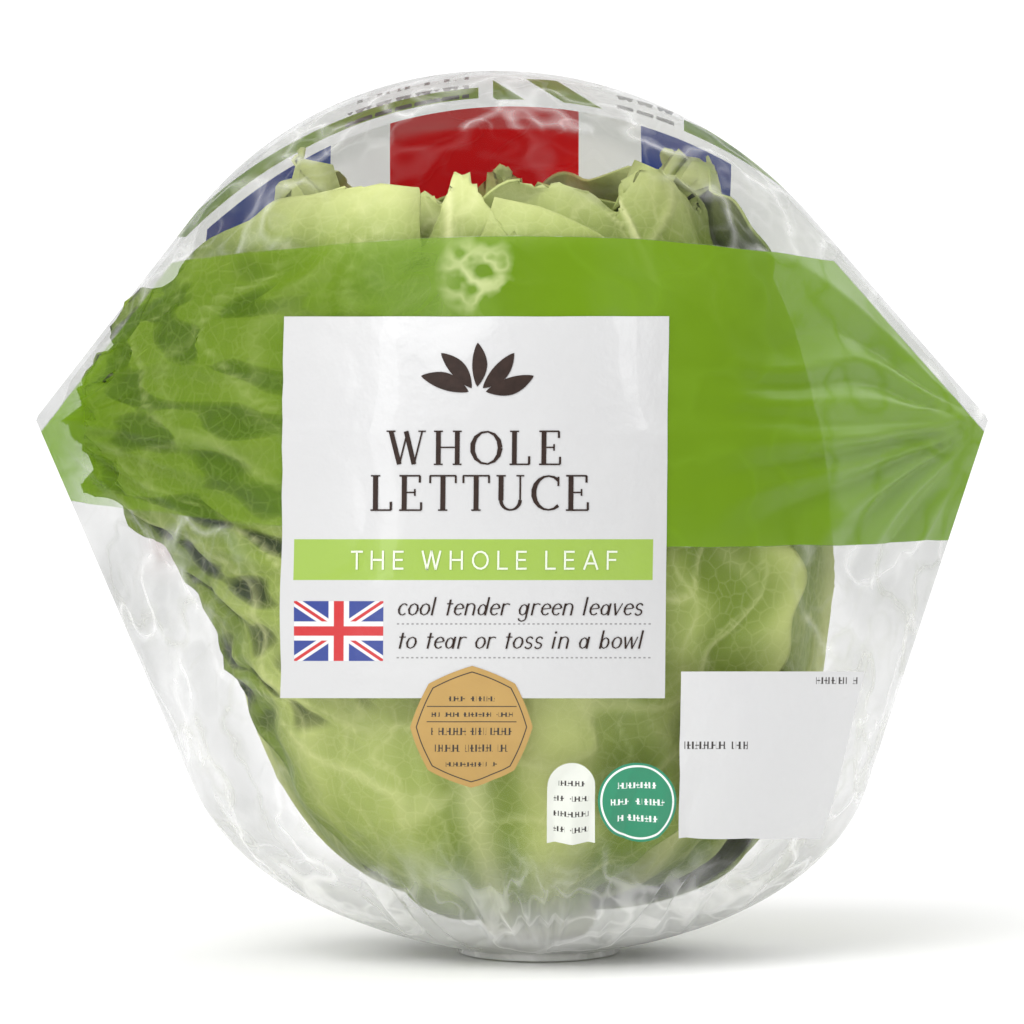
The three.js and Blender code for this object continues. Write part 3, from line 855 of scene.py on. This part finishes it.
def dashes(x, z, left, right, middle, tall, pace=1.0):
    """A line of writing too small to read: upright strokes of uneven width with bars across them,
    broken into words."""
    stems = ((x * (6.1 / pace)).sine() + (x * (3.7 / pace) + middle).sine() * 0.7).past(0.35, 0.5)
    bars = both((x * (2.9 / pace) + 1).sine().past(0.1, 0.3), within(z, middle - 0.1, middle + 0.12))
    feet = both((x * (3.3 / pace)).sine().past(0.2, 0.3), 1 - (z - middle + tall * 0.3).past(0.0, 0.1))
    line = within(z, middle - tall * 0.36, middle + tall * 0.36, 0.12)
    words = ((x * (0.83 / pace)).sine() + (x * (1.31 / pace) + middle).sine()).past(-1.25, 0.1)
    return both(line, (stems + bars + feet).held(), words, within(x, left, right))


DARK_INK = colour(30, 20, 16)
label = Finish("label ink", Roughness=0.28, Coat_Weight=0.25)
x, z, _ = label.marks("print")
strip = both(within(x, 2.6, 77.8), within(z, 24.8, 33.4))
flag = both(within(x, 2.8, 21.5), within(z, 7.8, 20.4))
cross_wide = (both(flag, within(x, 10.0, 14.3)) + both(flag, within(z, 12.1, 16.1))).held()
cross = (both(flag, within(x, 11.1, 13.2)) + both(flag, within(z, 13.1, 15.1))).held()
slope = abs(abs(x - 12.15) * 0.674 - abs(z - 14.1))
wide_slopes, thin_slopes = both(flag, 1 - slope.past(1.15)), both(flag, 1 - slope.past(0.4))
dots = both((x * 6.2).sine().past(0.0, 0.4), within(x, 24.0, 77.8))
dots = both(dots, (within(z, 15.45, 15.75) + within(z, 8.35, 8.65)).held()) * 0.6
face = label.mixed(colour(200, 200, 200), colour(194, 194, 195), label.noise(0.03))
face = label.mixed(face, colour(146, 176, 66), strip)
face = label.mixed(face, colour(34, 56, 134), flag)
face = label.mixed(face, colour(216, 216, 216), wide_slopes)
face = label.mixed(face, colour(190, 30, 36), thin_slopes)
face = label.mixed(face, colour(216, 216, 216), cross_wide)
face = label.mixed(face, colour(190, 30, 36), cross)
label.feed(Base_Color=label.mixed(face, DARK_INK, dots))
ink_sheet("label_block", *LABEL_BOX, glossed(label), pitch=0.7)

STEM_STROKE, HAIR_STROKE = 1.02, 0.3
CAP = 7.0


def serif(x, z, half=0.95):
    """A short level hairline across a stem's end."""
    return ("bar", x - half, z, x + half, z, HAIR_STROKE)


def upright(x, low=0.0, high=CAP, wide=STEM_STROKE):
    """A stem from one height to another."""
    return ("bar", x, low, x, high, wide)


# Each letter: how far it advances, and its strokes in a box seven high.
LETTERS = {
    "L": (5.0, [upright(1), serif(1, 7), ("bar", 0, 0, 4.2, 0, 0.34), upright(4.15, 0, 1.7, 0.5)]),
    "E": (
        5.3,
        [upright(1), ("bar", 0, 7, 4.2, 7, 0.34), ("bar", 0, 0, 4.5, 0, 0.34)]
        + [("bar", 1, 3.6, 3.2, 3.6, 0.3), upright(4.15, 5.6, 7, 0.45)]
        + [upright(4.45, 0, 1.6, 0.45), upright(3.15, 2.9, 4.3, 0.35)],
    ),
    "T": (
        5.9,
        [upright(2.7), serif(2.7, 0), ("bar", 0, 7, 5.4, 7, 0.34)]
        + [upright(0.1, 5.5, 7, 0.4), upright(5.3, 5.5, 7, 0.4)],
    ),
    "U": (
        6.5,
        [upright(1, 2, 7), upright(4.9, 2, 7, 0.36), serif(1, 7), serif(4.9, 7, 0.8)]
        + [("arc", 2.95, 2.05, 1.95, 2.0, 180, 360, 0.75, 0.36)],
    ),
    "C": (6.0, [("arc", 3.3, 3.5, 3.0, 3.45, 48, 312, 1.05, 0.34), upright(5.3, 4.9, 6.8, 0.4)]),
    "H": (
        6.7,
        [upright(1), upright(5), ("bar", 1, 3.6, 5, 3.6, 0.3)]
        + [serif(1, 7), serif(1, 0), serif(5, 7), serif(5, 0)],
    ),
    "O": (6.9, [("arc", 3.2, 3.5, 2.95, 3.45, 0, 360, 1.05, 0.34)]),
    "W": (
        8.6,
        [("bar", 0.8, 7, 2.6, 0, 1.0), ("bar", 2.6, 0, 4.3, 7, 0.36), ("bar", 4.0, 7, 5.7, 0, 1.0)]
        + [("bar", 5.7, 0, 7.4, 7, 0.36), serif(0.8, 7), serif(7.4, 7, 0.8)],
    ),
}


def stroke_edges(stroke, steps=14):
    """The two edges of one stroke: a straight bar, or an arc that is thick at its sides."""
    t = np.linspace(0, 1, steps)[:, None]
    if stroke[0] == "bar":
        _, x0, z0, x1, z1, wide = stroke
        path = np.hstack([mix(x0, x1, t), mix(z0, z1, t)])
        wide = np.full_like(t, wide)
    else:
        _, x, z, reach_x, reach_z, start, end, wide_side, wide_end = stroke
        angle = np.radians(mix(start, end, t))
        path = np.hstack([x + reach_x * np.cos(angle), z + reach_z * np.sin(angle)])
        wide = mix(wide_end, wide_side, np.abs(np.cos(angle)) ** 1.6)
    run = np.gradient(path, axis=0)
    across = np.stack([run[:, 1], -run[:, 0]], axis=-1) / np.linalg.norm(run, axis=1)[:, None]
    return np.stack([path - across * wide / 2, path + across * wide / 2], axis=1)


# The small slanted letters: each one's advance and its strokes.
STALK = ("bar", 0.5, 0, 0.5, 3.4, 0.55)
TALL = ("bar", 0.5, 0, 0.5, 5.2, 0.55)
HOOP = ("arc", 1.6, 2.2, 1.1, 1.15, 0, 180, 0.5, 0.26)
BOWL = ("arc", 1.4, 1.6, 1.05, 1.5, 0, 360, 0.58, 0.26)
SMALL_LETTERS = {
    "a": (3.4, (BOWL, ("bar", 2.6, 0, 2.6, 3.4, 0.55))),
    "b": (3.3, (TALL, ("arc", 1.6, 1.6, 1.05, 1.5, 0, 360, 0.58, 0.26))),
    "c": (2.7, (("arc", 1.5, 1.7, 1.2, 1.6, 45, 315, 0.6, 0.28),)),
    "d": (3.4, (BOWL, ("bar", 2.6, 0, 2.6, 5.2, 0.55))),
    "e": (2.9, (("arc", 1.5, 1.7, 1.2, 1.6, 12, 318, 0.6, 0.28), ("bar", 0.5, 1.8, 2.6, 2.0, 0.26))),
    "g": (3.4, (BOWL, ("bar", 2.6, -0.8, 2.6, 3.4, 0.5), ("arc", 1.6, -0.8, 1.0, 0.8, 180, 360, 0.4, 0.3))),
    "i": (1.6, (STALK, ("bar", 0.5, 4.3, 0.5, 4.9, 0.6))),
    "l": (1.6, (TALL,)),
    "n": (3.4, (STALK, HOOP, ("bar", 2.7, 0, 2.7, 2.3, 0.55))),
    "o": (3.1, (("arc", 1.5, 1.7, 1.25, 1.6, 0, 360, 0.6, 0.28),)),
    "r": (2.6, (STALK, ("arc", 1.6, 2.2, 1.1, 1.1, 50, 180, 0.45, 0.28))),
    "s": (
        2.6,
        (("arc", 1.3, 2.5, 0.85, 0.85, 20, 270, 0.45, 0.36),)
        + (("arc", 1.3, 0.85, 0.9, 0.8, 90, -160, 0.45, 0.36),),
    ),
    "t": (2.2, (("bar", 0.9, 0, 0.9, 4.5, 0.55), ("bar", 0.1, 3.3, 1.9, 3.3, 0.3))),
    "v": (2.9, (("bar", 0.2, 3.4, 1.2, 0, 0.5), ("bar", 1.2, 0, 2.4, 3.4, 0.3))),
    "w": (
        4.2,
        (("bar", 0.2, 3.4, 1.1, 0, 0.5), ("bar", 1.1, 0, 2.0, 3.4, 0.3))
        + (("bar", 2.0, 3.4, 2.9, 0, 0.5), ("bar", 2.9, 0, 3.8, 3.4, 0.3)),
    ),
}


def slanted(words, left, foot, tall):
    """The strokes of a line of small slanted writing on the print."""
    at, strokes, unit = left, [], tall / 5.2
    for letter in words:
        advance, drawn = SMALL_LETTERS.get(letter, (2.1, ()))
        for shape in drawn:
            edges = stroke_edges(shape, 9) * unit
            edges[..., 0] += 0.22 * edges[..., 1]
            edges = edges + [at, foot]
            strokes.append(on_film(edges[..., 0], edges[..., 1], TOP_INK_LIFT))
        at += (advance + 0.16) * unit
    return strokes


# The plain capitals on the green strip: each letter's advance and its even strokes.
THIN = 0.74
PLAIN_LETTERS = {
    "T": (4.9, ((2.3, 0, 2.3, 7), (0.1, 6.6, 4.5, 6.6))),
    "H": (5.8, ((0.5, 0, 0.5, 7), (4.6, 0, 4.6, 7), (0.5, 3.6, 4.6, 3.6))),
    "E": (4.9, ((0.5, 0, 0.5, 7), (0.5, 6.6, 4, 6.6), (0.5, 3.6, 3.7, 3.6), (0.5, 0.4, 4, 0.4))),
    "W": (7.7, ((0.2, 7, 1.9, 0), (1.9, 0, 3.5, 7), (3.5, 7, 5.1, 0), (5.1, 0, 6.8, 7))),
    "O": (6.9, None),
    "L": (4.5, ((0.5, 0, 0.5, 7), (0.5, 0.4, 4, 0.4))),
    "A": (6.0, ((0.2, 0, 2.7, 7), (2.7, 7, 5.2, 0), (1.2, 2.3, 4.2, 2.3))),
    "F": (4.6, ((0.5, 0, 0.5, 7), (0.5, 6.6, 4, 6.6), (0.5, 3.6, 3.6, 3.6))),
}


def plain_written(words, left, foot, tall, track):
    """The strokes of a line of plain capitals, from its left end and its foot."""
    scale, at, strokes = tall / CAP, left, []
    for letter in words:
        if letter == " ":
            at += 3.4 * scale
            continue
        advance, lines = PLAIN_LETTERS[letter]
        shapes = [("bar", *line, THIN) for line in lines or ()]
        for shape in shapes or [("arc", 3.2, 3.5, 2.75, 3.15, 0, 360, THIN, THIN)]:
            edges = stroke_edges(shape) * scale + [at, foot]
            strokes.append(on_film(edges[..., 0], edges[..., 1], TOP_INK_LIFT))
        at += (advance + track) * scale
    return strokes


def join(name, pieces, finish, slot="film"):
    """One mesh from many small grids of points."""
    first = [add_surface(f"{name}_{k}", p) for k, p in enumerate(pieces)]
    for part in first:
        part.select_set(True)
    bpy.context.view_layer.objects.active = first[0]
    bpy.ops.object.join()
    whole = bpy.context.view_layer.objects.active
    whole.name = whole.data.name = name
    whole.select_set(False)
    return fit(whole, finish, slot)


def written(word, left, foot, tall, track):
    """The strokes of a word in capitals on the print, from its left end and its foot."""
    scale, at, strokes = tall / CAP, left, []
    for letter in word:
        advance, shapes = LETTERS[letter]
        for shape in shapes:
            edges = stroke_edges(shape) * scale + [at, foot]
            strokes.append(on_film(edges[..., 0], edges[..., 1], TOP_INK_LIFT))
        at += (advance + track) * scale
    return strokes


def leaf_mark(x, z, tall, angle):
    """A plain leaf: two curved edges that meet in points, leaning at an angle."""
    t = np.linspace(0, 1, 24)[:, None]
    width = 0.17 * tall * np.sin(np.pi * t) ** 0.8
    spine = np.hstack([0.05 * tall * np.sin(np.pi * t), 0.18 * tall + t * tall])
    edges = np.stack([spine - width * [1, 0], spine + width * [1, 0]], axis=1)
    turned = edges @ np.array([[math.cos(angle), math.sin(angle)], [-math.sin(angle), math.cos(angle)]])
    return on_film(turned[..., 0] + x, turned[..., 1] + z, TOP_INK_LIFT)


dark_ink = Finish("dark ink", Roughness=0.5, Specular_IOR_Level=0.2)
dark_ink.feed(Base_Color=dark_ink.mixed(DARK_INK, colour(60, 44, 38), dark_ink.noise(0.002)))
headline = written("WHOLE", -26.2, 102.4, 6.9, 1.25) + written("LETTUCE", -29.6, 92.8, 7.2, 0.85)
join("headline", headline, glossed(dark_ink))
sprig = [
    leaf_mark(-7.5, 117.0, tall, angle)
    for angle, tall in ((-1.25, 10.5), (-0.72, 9.8), (0.0, 9.2), (0.72, 9.8), (1.25, 10.5))
]
join("leaf_mark", sprig, dark_ink)
small_lines = slanted("cool tender green leaves", -23.9, 70.7, 3.85)
small_lines += slanted("to tear or toss in a bowl", -23.9, 63.7, 3.85)
join("small_writing", small_lines, dark_ink)
white_ink = Finish("white ink", Roughness=0.3, Coat_Weight=0.25)
white_ink.feed(
    Base_Color=white_ink.mixed(colour(226, 232, 214), colour(214, 222, 198), white_ink.noise(0.002))
)
join("strip_writing", plain_written("THE WHOLE LEAF", -33.6, 80.3, 4.0, 2.35), white_ink)

# ---- The badges --------------------------------------------------------------------------------
# Small marks printed on the film below the label: a gold seal, a pale arched tag and a green
# roundel, each with rows of dashes. A white block for the grower is beside them.
gold = Finish("gold ink", Roughness=0.35, Metallic=0.0, Coat_Weight=0.25)
x, z, out = gold.marks("print")
bars = 0
seal_rows = ((5.9, 4.8, 0.9), (2.6, 8.6, 0.8), (-0.9, 8.4, 1.3), (-4.4, 7.6, 1.3), (-7.8, 5.4, 0.8))
for middle, half, tall in seal_rows:
    bars = dashes(x, z, -half, half, middle, tall * 1.6, 0.75) + bars
rules = (within(z, 4.2, 4.4) + within(z, 1.0, 1.2)).held() * within(x, -9.4, 9.4)
ring = within(out, 11.4, 11.65)
gold_face = gold.mixed(colour(182, 147, 80), colour(170, 134, 68), gold.noise(0.006))
gold.feed(Base_Color=gold.mixed(gold_face, DARK_INK, (bars + rules + ring).held()))
ink_disc("gold_seal", -8.0, 47.3, 12.8, glossed(gold), corners=8, lift=TOP_INK_LIFT)

tag = Finish("tag ink", Roughness=0.3, Coat_Weight=0.25)
x, z, _ = tag.marks("print")
ARCH_X, ARCH_Z = 5.05, 11.75  # the middle of the tag's round top
from_arch = (x - ARCH_X) * (x - ARCH_X) + (z - ARCH_Z) * (z - ARCH_Z)
corners = both(z.past(ARCH_Z), from_arch.past(25.2, 1.5))
lines = dashes(x, z, 2.4, 7.8, 12.4, 1.5, 0.7)
for middle in (9.2, 6.0, 2.8):
    lines = dashes(x, z, 1.4, 8.8, middle, 1.5, 0.7) + lines
body = tag.mixed(colour(226, 228, 220), colour(216, 219, 210), tag.noise(0.006))
tag.feed(Base_Color=tag.mixed(body, DARK_INK, lines.held()))
tag.feed(Alpha=1 - corners)
ink_sheet("arched_shield", 8.0, 18.1, 22.9, 39.7, glossed(tag), pitch=0.5)

roundel = Finish("roundel ink", Roughness=0.3, Coat_Weight=0.25)
x, z, out = roundel.marks("print")
lines = within(out, 7.3, 7.7)
for middle, half in ((3.4, 4.2), (0.0, 5.6), (-3.4, 4.2)):
    lines = dashes(x, z, -half, half, middle, 1.7, 0.8) + lines
green = roundel.mixed(colour(10, 125, 88), colour(16, 136, 98), roundel.noise(0.006))
roundel.feed(Base_Color=roundel.mixed(green, colour(240, 244, 242), lines.held()))
ink_disc("green_roundel", 26.9, 31.5, 8.2, glossed(roundel))

block = Finish("grower block ink", Roughness=0.3, Coat_Weight=0.25)
x, z, _ = block.marks("print")
small = dashes(x, z, 28.4, 37.0, 33.2, 2.0, 0.7) + dashes(x, z, 0.8, 14.2, 19.6, 2.2, 0.8)
face = block.mixed(colour(212, 212, 212), colour(206, 206, 207), block.noise(0.03))
block.feed(Base_Color=block.mixed(face, DARK_INK, small.held()))
ink_sheet(
    "grower_block",
    35.7,
    74.1,
    23.8,
    58.9,
    glossed(block),
    bow=lambda z: 65.3 + 8.8 * ((z - 23.8) / 35.1) ** 0.8,
)
